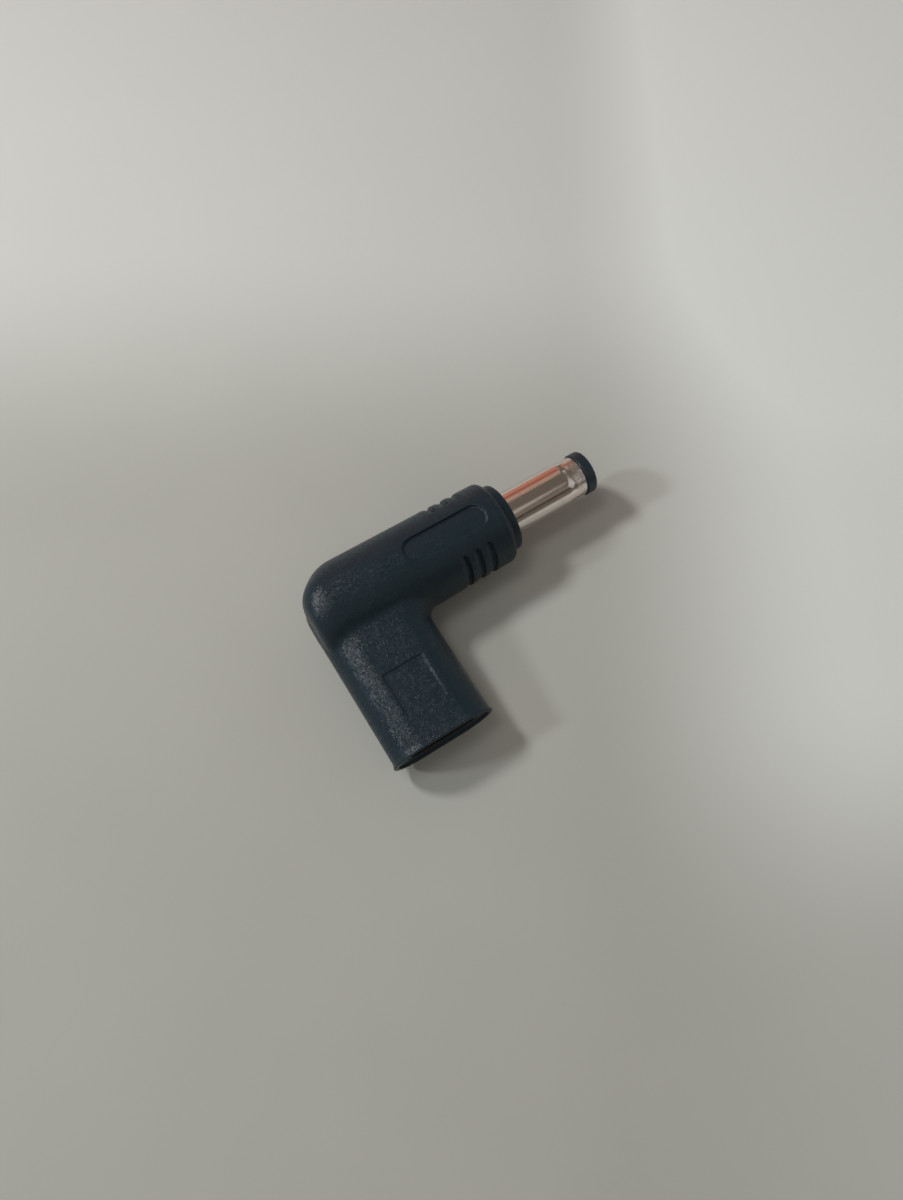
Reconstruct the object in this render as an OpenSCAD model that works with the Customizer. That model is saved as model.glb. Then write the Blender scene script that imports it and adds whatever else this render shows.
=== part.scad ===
// Right-angle power adapter: a moulded L-shaped housing with a coaxial barrel plug on its round arm
// and a flat oval socket in the mouth of its other arm.
// The origin is the centre of the collar's front face. The plug points along +X, the socket opens
// towards -Y, and the side with the marking window faces up.

/* [Plug] */
// Outer diameter of the metal sleeve
plug_d = 5.5; // [5:0.1:6.3]
// Diameter of the hole that takes the centre pin
pin_hole_d = 2.1; // [1.7:0.1:2.5]
// Length of the sleeve in front of the collar
sleeve_l = 11; // [8:0.1:14]
// Wall thickness of the sleeve
sleeve_wall = 0.35; // [0.25:0.05:0.45]
// Length of the insulating tip in front of the sleeve
tip_l = 1.4; // [1:0.1:2.5]
// Rounding of the tip's front edge
tip_edge_r = 0.35; // [0.1:0.05:0.5]
// Length of the band that is rolled in round the tip
crimp_l = 1.4; // [0.8:0.1:2]
// How far that band is rolled in
crimp_depth = 0.18; // [0.05:0.01:0.24]
// Depth to which the sleeve reaches into the housing
sleeve_root_l = 5.5; // [4.5:0.1:7]
// Wall thickness of the centre contact
contact_wall = 0.4; // [0.25:0.05:0.5]
// Width of the slit that makes the centre contact springy
contact_slit_w = 0.3; // [0.2:0.05:0.5]

/* [Round arm] */
// Diameter of the collar round the foot of the plug
collar_d = 8.7; // [7.6:0.1:9.6]
// Length of the collar
collar_l = 1.2; // [0.5:0.05:2]
// Diameter of the arm at its front shoulder
arm_front_d = 10.6; // [10.2:0.1:11.4]
// Diameter of the arm at its back, and of the elbow
arm_back_d = 11.1; // [10.6:0.1:12]
// Rounding of the front shoulder
shoulder_r = 0.75; // [0.3:0.05:0.9]
// Distance from the collar's face to the centreline of the socket arm
arm_l = 20.9; // [19:0.1:26]
// How far the centre of the elbow lies behind the centreline of the socket arm
elbow_setback = 0.6; // [0:0.1:1]

/* [Grip] */
// Number of grip grooves on each flank
groove_count = 3; // [2:1:4]
// Distance from the collar's face to the wall of the first groove
groove_start = 4.3; // [3.5:0.1:6]
// Distance between neighbouring grooves
groove_pitch = 1.72; // [1.4:0.02:2]
// Width of a groove, from the start of its ramp to its wall
groove_w = 1.1; // [0.8:0.05:1.3]
// Depth of a groove at its wall
groove_depth = 0.45; // [0.3:0.05:0.6]
// Height to which a groove reaches above and below the plug's axis
groove_reach = 4.2; // [3.5:0.1:4.6]
// Length of the thumb pad
pad_l = 11; // [7:0.1:12]
// Width of the thumb pad
pad_w = 3.2; // [2.5:0.1:4.5]
// Depth of the thumb pad
pad_depth = 0.28; // [0.15:0.01:0.4]
// Distance from the collar's face to the middle of the thumb pad
pad_mid = 8.75; // [7.5:0.05:10]

/* [Socket arm] */
// Width of the arm
socket_arm_w = 12.6; // [12:0.1:14]
// Height of the arm, which is also the diameter of its round sides
socket_arm_h = 7.1; // [6.2:0.1:7.8]
// Distance from the plug's axis to the mouth
mouth_reach = 19.6; // [19:0.1:26]
// How far the arm flares out towards its mouth, on each side
flare = 0.14; // [0.06:0.02:0.4]
// Length of that flare
flare_l = 2.2; // [1.2:0.1:3]
// Rounding of the mouth's rim
rim_r = 0.4; // [0.2:0.05:0.6]
// Radius of the bend in the inner corner between the arms
corner_r = 2; // [0.6:0.1:3]
// Width of the marking window
window_w = 5.1; // [4:0.1:5.4]
// Length of the marking window
window_l = 5.5; // [4:0.1:7]
// Depth of the marking window
window_depth = 0.2; // [0.1:0.01:0.3]
// Distance from the mouth to the middle of the marking window
window_set = 6.4; // [5.5:0.05:7.5]

/* [Socket] */
// Outside width of the socket's shell
shell_w = 8.94; // [8.5:0.02:9.4]
// Outside height of the socket's shell
shell_h = 3.26; // [3:0.02:3.6]
// Thickness of the shell's sheet
shell_t = 0.3; // [0.2:0.05:0.4]
// Length of the shell
shell_l = 6.8; // [6:0.1:7.6]
// How far the shell lies behind the mouth
shell_setback = 0.3; // [0.1:0.05:0.8]
// Width of the tongue
tongue_w = 6.69; // [6.3:0.01:7]
// Distance from the shell's front edge to the tip of the tongue
tongue_setback = 1; // [0.6:0.1:1.6]
// Length of the block that carries the tongue, inside the shell
block_l = 1.2; // [0.8:0.1:2]
// Length of that block behind the shell
block_tail_l = 1; // [0.6:0.1:1.6]
// Thickness of the steel plate inside the tongue
plate_t = 0.15; // [0.1:0.01:0.2]
// Number of contacts on each face of the tongue
contact_count = 12; // [4:1:12]
// Distance between neighbouring contacts
contact_pitch = 0.5; // [0.45:0.01:0.52]
// Width of a contact
contact_w = 0.26; // [0.2:0.01:0.34]
// Thickness of a contact
contact_t = 0.12; // [0.08:0.01:0.16]
// How deep a contact is let into the tongue
contact_inset = 0.05; // [0.03:0.01:0.07]

/* [Circuit] */
// Thickness of the circuit board
board_t = 0.6; // [0.5:0.05:0.8]
// Width of the circuit board
board_w = 8.4; // [7.6:0.1:9]
// Length of the circuit board
board_l = 6.2; // [5.2:0.1:6.8]
// Length of the contact tails on the board
tail_l = 0.9; // [0.6:0.1:1.2]
// Length of a chip resistor
chip_l = 1; // [0.8:0.1:1.6]
// Width of a chip resistor
chip_w = 0.5; // [0.4:0.05:0.8]
// Height of a chip resistor
chip_h = 0.35; // [0.25:0.05:0.45]
// Outer diameter of a lead's insulation
lead_d = 1.3; // [1.1:0.05:1.4]
// Diameter of a lead's copper core
core_d = 0.7; // [0.5:0.05:0.8]
// Bend radius of the inner lead
bend_r = 2.6; // [1.8:0.1:3]
// Width of the solder tags
tag_w = 1.2; // [1:0.05:1.3]
// Thickness of the solder tags
tag_t = 0.3; // [0.2:0.05:0.4]
// Length of the solder tags behind their washers
tag_l = 3.6; // [3:0.1:4.5]
// Length of a solder joint
joint_l = 1.6; // [1.2:0.1:2]

/* [Hidden] */
$fn = 96;

// Reach of a cutting shape past the surface that it opens
past = 1;

// Round arm: radii, and places along the plug's axis
plug_r = plug_d / 2;
collar_r = collar_d / 2;
collar_edge_r = 0.25;
arm_front_r = arm_front_d / 2;
arm_back_r = arm_back_d / 2;
groove_slack = 0.1;
shoulder_x = -collar_l;
elbow_x = -arm_l - elbow_setback;
elbow_step = 0.03;

// Plug: radii of the nested tubes, and places along its axis
sleeve_bore_r = plug_r - sleeve_wall;
pin_hole_r = pin_hole_d / 2;
contact_r = pin_hole_r + contact_wall;
tip_x = sleeve_l + tip_l;
crimp_x = sleeve_l - crimp_l;
crimp_ramp_l = 0.2;
sleeve_root_x = -sleeve_root_l;
flange_t = 0.7;
flange_step = 0.85;
flange_r = plug_r + flange_step;
root_step = 0.2;
root_r = plug_r + root_step;
contact_reach = 0.3;
contact_front_x = sleeve_l + contact_reach;
floor_t = 2;
contact_floor_x = sleeve_root_x + floor_t;
lead_in = 0.3;
slit_l = 7;

// Back of the plug: washers, bush and solder tags
bush_wall = 0.45;
bush_r = contact_r + bush_wall;
bush_l = 0.8;
tail_r = 0.7;
tag_gap = 0.1;
tag_offset = 0.8;
eyelet_r = tag_w / 2 + tag_gap + tag_offset;
sleeve_tag_x = sleeve_root_x - tag_t;
bush_x = sleeve_tag_x - bush_l;
centre_tag_x = bush_x - tag_t;
tag_end_x = centre_tag_x - tag_l;
positive_y = -tag_offset;
negative_y = bush_r + tag_gap + tag_w / 2;
washer_r = negative_y + tag_w / 2 + tag_gap;

// Socket arm: places along it, measured from the plug's axis
arm_half_h = socket_arm_h / 2;
arm_spine = socket_arm_w - socket_arm_h;
rim_root = rim_r / 4;
shell_front = mouth_reach - shell_setback;
shell_back = shell_front - shell_l;
block_back = shell_back - block_tail_l;
board_front = block_back;
board_back = board_front - board_l;
tongue_t = board_t + 2 * contact_inset;
tongue_tip = shell_front - tongue_setback;
plate_rim = 0.1;
plate_w = tongue_w + 2 * plate_rim;
plate_nose = 0.5;
plate_tip = tongue_tip - plate_nose;
contact_nose = 0.35;
contact_tip = tongue_tip - contact_nose;
row_w = (contact_count - 1) * contact_pitch + contact_w;
chip_offset = board_w / 4;
chip_place = board_front - tail_l - 2 * chip_l;

// Leads: two wires that bend round one centre, on the plane of the tags and of the board
solder_z = board_t / 2;
lead_lift = 0.05;
lead_z = solder_z + lead_d / 2 + lead_lift;
lead_pitch = negative_y - positive_y;
outer_bend_r = bend_r + lead_pitch;
bend_x = -arm_l + lead_pitch / 2 + bend_r;
bend_y = positive_y - bend_r;
tag_overlap = 0.2;
insulation_end_x = tag_end_x + tag_overlap;
board_overlap = 0.4;
insulation_end_y = -board_back - board_overlap;
joint_r = 0.6;

// Radius of the round arm at a place along the plug's axis
function arm_r(x) = arm_front_r + (arm_back_r - arm_front_r) * (shoulder_x - x) / (shoulder_x - elbow_x);

// Turns a profile of [radius, place] round the plug's axis
module turned() {
  rotate([0, 90, 0])
    rotate_extrude()
      children();
}

// Places a shape whose Z runs along the socket arm, from the plug's axis to the mouth
module at_socket() {
  translate([-arm_l, 0, 0])
    rotate([90, 0, 0])
      children();
}

// Flat outline with fully round ends
module oval(w, h) {
  square([w - h, h], center = true);
  for (end = [-1, 1])
    translate([end * (w - h) / 2, 0])
      circle(d = h);
}

// Sweeps a profile of [distance from the spine, place] round a straight spine, for a flat arm with round sides
module spine_sweep(spine) {
  for (end = [-1, 1])
    translate([end * spine / 2, 0, 0])
      rotate_extrude()
        children();
  rotate([90, 0, 90])
    linear_extrude(spine, center = true) {
      children();
      mirror([1, 0])
        children();
    }
}

// Profile that fills from the axis out to r, between two places, with its front edge rounded
module rounded_end(r, from, to, edge_r) {
  translate([0, from])
    square([r, to - from - edge_r]);
  translate([0, from])
    square([r - edge_r, to - from]);
  intersection() {
    translate([r - edge_r, to - edge_r])
      circle(r = edge_r);
    translate([0, from])
      square([r, to - from]);
  }
}

// Half profile of the round arm, from the centre of the elbow to the collar's face
module round_arm_profile() {
  polygon([
    [0, elbow_x],
    [arm_back_r, elbow_x],
    [arm_front_r, shoulder_x - shoulder_r],
    [0, shoulder_x - shoulder_r]
  ]);
  rounded_end(arm_front_r, shoulder_x - 2 * shoulder_r, shoulder_x, shoulder_r);
  rounded_end(collar_r, shoulder_x - shoulder_r, 0, collar_edge_r);
}

// Half profile of the socket arm, from its rounded root in the elbow to the rim of its mouth
module socket_arm_profile() {
  intersection() {
    circle(r = arm_half_h);
    translate([0, -arm_half_h])
      square([arm_half_h, 2 * arm_half_h]);
  }
  square([arm_half_h, mouth_reach - flare_l]);
  polygon([
    [0, mouth_reach - flare_l],
    [arm_half_h, mouth_reach - flare_l],
    [arm_half_h + flare, mouth_reach - rim_r],
    [0, mouth_reach - rim_r]
  ]);
  rounded_end(arm_half_h + flare, mouth_reach - rim_r - rim_root, mouth_reach, rim_r);
}

// Elbow: a ball on its outer side, and on the socket's side two crossed barrels that run on to the arm's edge
module elbow() {
  barrel_r = arm_back_r - elbow_step;
  translate([elbow_x, 0, 0]) {
    sphere(r = arm_back_r);
    intersection() {
      rotate([0, -90, 0])
        cylinder(r = barrel_r, h = arm_back_r);
      rotate([90, 0, 0])
        cylinder(r = barrel_r, h = arm_back_r);
    }
  }
}

// Round bend that leads the inner side of the socket arm into the flank of the round arm
module corner_bend() {
  bend_tube_r = arm_half_h - elbow_step;
  corner_x = -arm_l + socket_arm_w / 2 + corner_r;
  corner_y = -arm_r(corner_x) - corner_r + elbow_step;
  translate([corner_x, corner_y, 0])
    rotate([0, 0, 90])
      rotate_extrude(angle = 90)
        translate([corner_r + arm_half_h, 0])
          circle(r = bend_tube_r);
}

// Ramped grooves on both flanks of the round arm, each ending in a steep wall on its plug side
module grip_grooves() {
  for (i = [0 : groove_count - 1]) {
    wall_x = -groove_start - i * groove_pitch;
    ramp_x = wall_x - groove_w;
    intersection() {
      turned()
        polygon([
          [arm_r(ramp_x), ramp_x],
          [arm_r(wall_x) - groove_depth, wall_x],
          [arm_back_r + past, wall_x],
          [arm_back_r + past, ramp_x]
        ]);
      translate([wall_x - groove_w / 2, 0, 0])
        rotate([90, 90, 0])
          linear_extrude(2 * (arm_back_r + past), center = true)
            oval(2 * groove_reach, groove_w + 2 * groove_slack);
    }
  }
}

// Shallow pads for thumb and finger, above and below, that follow the arm's surface
module grip_pads() {
  from = -pad_mid - pad_l / 2;
  to = -pad_mid + pad_l / 2;
  intersection() {
    turned()
      polygon([
        [arm_r(from) - pad_depth, from],
        [arm_r(to) - pad_depth, to],
        [arm_back_r + past, to],
        [arm_back_r + past, from]
      ]);
    translate([-pad_mid, 0, 0])
      linear_extrude(2 * (arm_back_r + past), center = true)
        oval(pad_l, pad_w);
  }
}

// Bare recess for a marking, in the flat top of the socket arm
module marking_window() {
  translate([-arm_l, -mouth_reach + window_set, arm_half_h - window_depth + past / 2])
    cube([window_w, window_l, past], center = true);
}

// Room that the plug's root takes up in the housing
module plug_pocket() {
  turned() {
    translate([0, sleeve_root_x])
      square([root_r, sleeve_root_l + past]);
    translate([0, sleeve_root_x])
      square([flange_r, flange_t]);
    translate([0, sleeve_tag_x])
      square([washer_r, tag_t]);
    translate([0, bush_x])
      square([bush_r, bush_l]);
    translate([0, centre_tag_x])
      square([eyelet_r, tag_t]);
  }
  tag_strip(positive_y, centre_tag_x);
  tag_strip(negative_y, sleeve_root_x);
}

// Room that the socket, its board and the solder on it take up in the housing
module socket_pocket() {
  at_socket() {
    translate([0, 0, shell_back])
      linear_extrude(mouth_reach + past - shell_back)
        oval(shell_w, shell_h);
    translate([0, 0, block_back])
      linear_extrude(block_tail_l)
        oval(shell_w - 2 * shell_t, shell_h - 2 * shell_t);
    translate([-row_w / 2, -solder_z - contact_t, board_front - tail_l])
      cube([row_w, board_t + 2 * contact_t, tail_l]);
  }
  circuit_board();
  chip_resistors();
}

// Room that the leads and their solder take up in the housing
module lead_room() {
  for (bend = [bend_r, outer_bend_r]) {
    lead_run(bend, lead_d / 2, 0);
    lead_ends(bend)
      joint_block();
  }
}

// One-piece moulding over everything that the adapter holds
module housing() {
  color("#22282d")
    difference() {
      union() {
        turned()
          round_arm_profile();
        elbow();
        at_socket()
          spine_sweep(arm_spine)
            socket_arm_profile();
        corner_bend();
      }
      grip_grooves();
      grip_pads();
      marking_window();
      plug_pocket();
      socket_pocket();
      lead_room();
    }
}

// Outer contact of the plug: a tube with a thick flanged root, its front rolled in round the tip
module plug_sleeve() {
  crimp_r = plug_r - crimp_depth;
  color("#b8b0a4")
    turned()
      polygon([
        [sleeve_bore_r, sleeve_root_x],
        [flange_r, sleeve_root_x],
        [flange_r, sleeve_root_x + flange_t],
        [root_r, sleeve_root_x + flange_t],
        [root_r, 0],
        [plug_r, 0],
        [plug_r, crimp_x - crimp_ramp_l],
        [crimp_r, crimp_x],
        [crimp_r, sleeve_l],
        [sleeve_bore_r - crimp_depth, sleeve_l],
        [sleeve_bore_r - crimp_depth, crimp_x],
        [sleeve_bore_r, crimp_x - crimp_ramp_l]
      ]);
}

// Black tip of the plug, in one piece with the liner that keeps the two contacts apart
module tip_insulator() {
  color("#15181a")
    turned()
      difference() {
        union() {
          rounded_end(plug_r, sleeve_l, tip_x, tip_edge_r);
          polygon([
            [0, sleeve_root_x],
            [sleeve_bore_r, sleeve_root_x],
            [sleeve_bore_r, crimp_x - crimp_ramp_l],
            [sleeve_bore_r - crimp_depth, crimp_x],
            [sleeve_bore_r - crimp_depth, sleeve_l],
            [0, sleeve_l]
          ]);
        }
        translate([0, sleeve_root_x - past])
          square([contact_r, contact_front_x - sleeve_root_x + past]);
        polygon([
          [0, contact_front_x - past],
          [pin_hole_r, contact_front_x - past],
          [pin_hole_r, tip_x - lead_in],
          [pin_hole_r + lead_in, tip_x],
          [pin_hole_r + lead_in, tip_x + past],
          [0, tip_x + past]
        ]);
      }
}

// Slit tube that grips the centre pin, with a tail that is riveted into its solder tag
module centre_contact() {
  color("#c9a54a")
    difference() {
      turned()
        polygon([
          [0, centre_tag_x],
          [tail_r, centre_tag_x],
          [tail_r, sleeve_root_x],
          [contact_r, sleeve_root_x],
          [contact_r, contact_front_x],
          [pin_hole_r, contact_front_x],
          [pin_hole_r, contact_floor_x],
          [0, contact_floor_x]
        ]);
      translate([contact_front_x - slit_l, -contact_slit_w / 2, -contact_r - past])
        cube([slit_l + past, contact_slit_w, 2 * (contact_r + past)]);
    }
}

// Insulating bush between the two solder tags
module rear_bush() {
  color("#e6e2d6")
    turned() {
      translate([tail_r, bush_x])
        square([bush_r - tail_r, bush_l + tag_t]);
    }
}

// Strip of a solder tag, running back from its washer
module tag_strip(y, from_x) {
  translate([tag_end_x, y - tag_w / 2, solder_z - tag_t])
    cube([from_x - tag_end_x, tag_w, tag_t]);
}

// Washer behind the sleeve's flange, with its solder strip
module sleeve_tag() {
  color("#c8c4ba") {
    turned()
      translate([bush_r, sleeve_tag_x])
        square([washer_r - bush_r, tag_t]);
    tag_strip(negative_y, sleeve_root_x);
  }
}

// Eyelet on the tail of the centre contact, with its solder strip
module centre_tag() {
  color("#c8c4ba") {
    turned()
      translate([tail_r, centre_tag_x])
        square([eyelet_r - tail_r, tag_t]);
    tag_strip(positive_y, centre_tag_x);
  }
}

// Round wire of radius r from the plug's tags, round the elbow and onto the board; extra bares its ends
module lead_run(bend, r, extra) {
  translate([bend_x, bend_y, lead_z]) {
    rotate([0, 0, 90])
      rotate_extrude(angle = 90)
        translate([bend, 0])
          circle(r = r);
    translate([0, bend, 0])
      rotate([0, 90, 0])
        cylinder(r = r, h = insulation_end_x - bend_x + extra);
    translate([-bend, 0, 0])
      rotate([90, 0, 0])
        cylinder(r = r, h = bend_y - insulation_end_y + extra);
  }
}

// Places a shape at both bare ends of a lead, with Z along the wire and Y up from the solder plane
module lead_ends(bend) {
  translate([insulation_end_x, bend_y + bend, solder_z])
    rotate([90, 0, 90])
      children();
  translate([bend_x - bend, insulation_end_y, solder_z])
    rotate([90, 0, 0])
      children();
}

// Insulation of a lead
module lead(bend, tint) {
  color(tint)
    difference() {
      lead_run(bend, lead_d / 2, 0);
      lead_run(bend, core_d / 2, joint_l);
    }
}

// Copper core of a lead
module core(bend) {
  color("#b87333")
    lead_run(bend, core_d / 2, joint_l);
}

// Outer form of a solder joint round the end of a core
module joint_block() {
  linear_extrude(joint_l) {
    translate([0, lead_z - solder_z])
      circle(r = joint_r);
    translate([-joint_r, 0])
      square([2 * joint_r, lead_z - solder_z]);
  }
}

// Lead from the board to the centre contact
module positive_lead() {
  lead(bend_r, "#a02020");
}

// Lead from the board to the sleeve
module negative_lead() {
  lead(outer_bend_r, "#202020");
}

// Copper of the positive lead
module positive_core() {
  core(bend_r);
}

// Copper of the negative lead
module negative_core() {
  core(outer_bend_r);
}

// Solder at both ends of both leads
module solder_joints() {
  color("#9a9c9e")
    for (bend = [bend_r, outer_bend_r])
      lead_ends(bend)
        difference() {
          joint_block();
          translate([0, lead_z - solder_z, -past])
            cylinder(d = core_d, h = joint_l + 2 * past);
        }
}

// Board between the rows of contact tails
module circuit_board() {
  color("#1f5a36")
    at_socket()
      translate([-board_w / 2, -board_t / 2, board_back])
        cube([board_w, board_t, board_l]);
}

// Two chip resistors that tell the supply what to deliver
module chip_resistors() {
  color("#2a2a2a")
    at_socket()
      for (side = [-1, 1])
        translate([side * chip_offset - chip_w / 2, board_t / 2, chip_place])
          cube([chip_w, chip_h, chip_l]);
}

// Folded sheet shell of the socket
module socket_shell() {
  color("#b4b6b8")
    at_socket()
      translate([0, 0, shell_back])
        linear_extrude(shell_l)
          difference() {
            oval(shell_w, shell_h);
            oval(shell_w - 2 * shell_t, shell_h - 2 * shell_t);
          }
}

// Steel plate that stiffens the tongue
module tongue_plate() {
  color("#a8aaac")
    at_socket()
      translate([-plate_w / 2, -plate_t / 2, shell_back])
        cube([plate_w, plate_t, plate_tip - shell_back]);
}

// Row of contacts on one face of the tongue, with tails that reach onto the board
module contact_row(face) {
  contact_l = contact_tip - board_front + tail_l;
  color("#d2a93c")
    at_socket()
      for (i = [0 : contact_count - 1])
        translate([
          (i - (contact_count - 1) / 2) * contact_pitch,
          face * (solder_z + contact_t / 2),
          board_front - tail_l + contact_l / 2
        ])
          cube([contact_w, contact_t, contact_l], center = true);
}

// Contacts on the upper face
module upper_contacts() {
  contact_row(1);
}

// Contacts on the lower face
module lower_contacts() {
  contact_row(-1);
}

// Moulded tongue and the block that closes the back of the shell
module socket_tongue() {
  color("#121416")
    difference() {
      at_socket() {
        translate([0, 0, block_back])
          linear_extrude(block_tail_l + block_l)
            oval(shell_w - 2 * shell_t, shell_h - 2 * shell_t);
        translate([-tongue_w / 2, -tongue_t / 2, shell_back])
          cube([tongue_w, tongue_t, tongue_tip - shell_back]);
      }
      tongue_plate();
      upper_contacts();
      lower_contacts();
    }
}

housing();
plug_sleeve();
tip_insulator();
centre_contact();
rear_bush();
sleeve_tag();
centre_tag();
positive_lead();
negative_lead();
positive_core();
negative_core();
solder_joints();
circuit_board();
chip_resistors();
socket_shell();
socket_tongue();
tongue_plate();
upper_contacts();
lower_contacts();
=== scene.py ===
"""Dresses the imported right-angle power adapter and sets it in a small studio.

A piece is modelled in millimetres, in the CAD model's frame, and is brought to metres when it is finished:
the plug points along +X, the socket opens towards -Y, and the side with the marking window faces up.
"""

import logging
import math
from collections.abc import Callable, Iterator, Sequence
from contextlib import contextmanager
from dataclasses import dataclass
from enum import Enum
from typing import Union

import bmesh
import bpy
from mathutils import Matrix, Vector


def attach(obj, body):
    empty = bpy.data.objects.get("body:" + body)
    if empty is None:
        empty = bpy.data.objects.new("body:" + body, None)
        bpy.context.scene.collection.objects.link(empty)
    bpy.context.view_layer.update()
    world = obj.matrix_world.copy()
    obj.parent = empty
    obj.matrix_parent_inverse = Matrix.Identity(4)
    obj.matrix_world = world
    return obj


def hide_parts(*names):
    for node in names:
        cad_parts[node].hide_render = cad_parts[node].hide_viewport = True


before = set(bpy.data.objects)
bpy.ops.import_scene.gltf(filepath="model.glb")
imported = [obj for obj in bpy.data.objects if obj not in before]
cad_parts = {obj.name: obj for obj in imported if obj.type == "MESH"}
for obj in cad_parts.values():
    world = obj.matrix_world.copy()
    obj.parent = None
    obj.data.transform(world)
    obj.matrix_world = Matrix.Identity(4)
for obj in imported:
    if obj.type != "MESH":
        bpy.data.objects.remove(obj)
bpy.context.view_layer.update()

LOG = logging.getLogger("adapter")
MM = 0.001
ROOT = "root"
ORIGIN = (0.0, 0.0, 0.0)
SAME_POINT = 1e-5
NEAR = 1e-4
CLOUD_EDGES = (0.3, 0.7)

Colour = tuple[float, float, float]
Place = tuple[float, float, float]
Pair = tuple[float, float]
Outline = Sequence[Pair]
Piece = bpy.types.Object
Operand = Union["Wire", float]


# Shader wiring


class Wire:
    """A node's output that takes part in Python expressions."""

    def __init__(self, graph: "Graph", socket: bpy.types.NodeSocket) -> None:
        """Keeps the output socket and the graph that it belongs to."""
        self.graph = graph
        self.socket = socket

    def math(self, operation: str, first: Operand, second: Operand = 0.0) -> "Wire":
        """Adds one Math node and gives its result."""
        return self.graph.add("Math", {"operation": operation}, {0: first, 1: second})

    def __add__(self, other: Operand) -> "Wire":
        """Sum."""
        return self.math("ADD", self, other)

    def __radd__(self, other: Operand) -> "Wire":
        """Sum, from the right."""
        return self.math("ADD", other, self)

    def __sub__(self, other: Operand) -> "Wire":
        """Difference."""
        return self.math("SUBTRACT", self, other)

    def __rsub__(self, other: Operand) -> "Wire":
        """Difference, from the right."""
        return self.math("SUBTRACT", other, self)

    def __mul__(self, other: Operand) -> "Wire":
        """Product."""
        return self.math("MULTIPLY", self, other)

    def __rmul__(self, other: Operand) -> "Wire":
        """Product, from the right."""
        return self.math("MULTIPLY", other, self)

    def __abs__(self) -> "Wire":
        """Size without the sign."""
        return self.math("ABSOLUTE", self)

    def angle_to(self, other: Operand) -> "Wire":
        """Angle of the point that has this value as its height and the other as its width."""
        return self.math("ARCTAN2", self, other)

    def step(self, low: float, high: float) -> "Wire":
        """Eases from 0 at low to 1 at high, or the other way round where low is the larger.

        Args:
            low: Value at which the result is 0.
            high: Value at which the result is 1.

        Returns:
            The eased value.
        """
        flip = low > high
        ends = (high, low) if flip else (low, high)
        eased = self.graph.add(
            "MapRange",
            {"interpolation_type": "SMOOTHSTEP"},
            {"Value": self, "From Min": ends[0], "From Max": ends[1]},
        )
        return 1.0 - eased if flip else eased

    def over(self, start: float, stop: float) -> "Wire":
        """Eases a place in metres from 0 to 1 between two places in millimetres."""
        return self.step(start * MM, stop * MM)


class Graph:
    """A node tree, and the one method that adds nodes to it."""

    def __init__(self, tree: bpy.types.NodeTree) -> None:
        """Empties the tree."""
        self.tree = tree
        tree.nodes.clear()

    def add(
        self,
        kind: str,
        settings: dict[str, object] | None = None,
        sockets: dict[str | int, object] | None = None,
        output: str | int = 0,
    ) -> Wire:
        """Adds a node.

        Args:
            kind: The node's type, without ShaderNode before it.
            settings: The node's own settings, set first.
            sockets: Values or wires for its inputs, by name or number.
            output: The output to give back, by name or number.

        Returns:
            The wire of that output.
        """
        node = self.tree.nodes.new("ShaderNode" + kind)
        for name, value in (settings or {}).items():
            setattr(node, name, value)
        for name, value in (sockets or {}).items():
            if isinstance(value, Wire):
                self.tree.links.new(value.socket, node.inputs[name])
            else:
                node.inputs[name].default_value = value
        return Wire(self, node.outputs[output] if node.outputs else None)

    def place(self) -> tuple[Wire, Wire, Wire, Wire]:
        """Reads the place on the surface, in metres.

        Returns:
            The place as a vector, and its three parts.
        """
        point = self.add("TexCoord", output="Object")
        parts = self.add("SeparateXYZ", sockets={0: point})
        node = parts.socket.node
        return point, *(Wire(self, node.outputs[i]) for i in range(3))

    def noise(self, where: Wire, size: float, detail: float = 2.0, rough: float = 0.5) -> Wire:
        """Soft noise whose lumps are about as wide as size, in millimetres."""
        return self.add(
            "TexNoise",
            sockets={"Vector": where, "Scale": 1.0 / (size * MM), "Detail": detail, "Roughness": rough},
        )

    def cells(self, where: Wire, size: float, output: str = "Distance") -> Wire:
        """Gives an output of random cells that are about as wide as size, in millimetres."""
        sockets = {"Vector": where, "Scale": 1.0 / (size * MM)}
        return self.add("TexVoronoi", sockets=sockets, output=output)

    def vector(self, operation: str, first: Wire, second: object, output: str = "Vector") -> Wire:
        """Adds one Vector Math node and gives an output of it."""
        return self.add("VectorMath", {"operation": operation}, {0: first, 1: second}, output)

    def facets(self, where: Wire, size: float, lean: float) -> Wire:
        """Covers a surface with small flats that each lean their own way.

        Args:
            where: The place on the surface.
            size: About how wide a flat is, in millimetres.
            lean: Slope between the two that lean most.

        Returns:
            The flats' height, in millimetres.
        """
        middle = self.cells(where, size, "Position")
        chance = Wire(self, middle.socket.node.outputs["Color"])
        slope = self.vector("SUBTRACT", chance, (0.5, 0.5, 0.5))
        offset = self.vector("SUBTRACT", where, middle)
        return self.vector("DOT_PRODUCT", offset, slope, "Value") * (lean / MM)

    def mix(self, share: Operand, first: object, second: object) -> Wire:
        """Mixes two colours, each a wire or a plain colour."""
        ends = [c if isinstance(c, Wire) else (*c, 1.0) for c in (first, second)]
        return self.add("Mix", {"data_type": "RGBA"}, {0: share, 6: ends[0], 7: ends[1]}, 2)

    def bump(self, height: Wire, depth: float, strength: float) -> Wire:
        """Bends the normal by a height in units of a depth, which is in millimetres."""
        sockets = {"Height": height, "Distance": depth * MM, "Strength": strength}
        return self.add("Bump", sockets=sockets)


# Finishes


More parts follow.
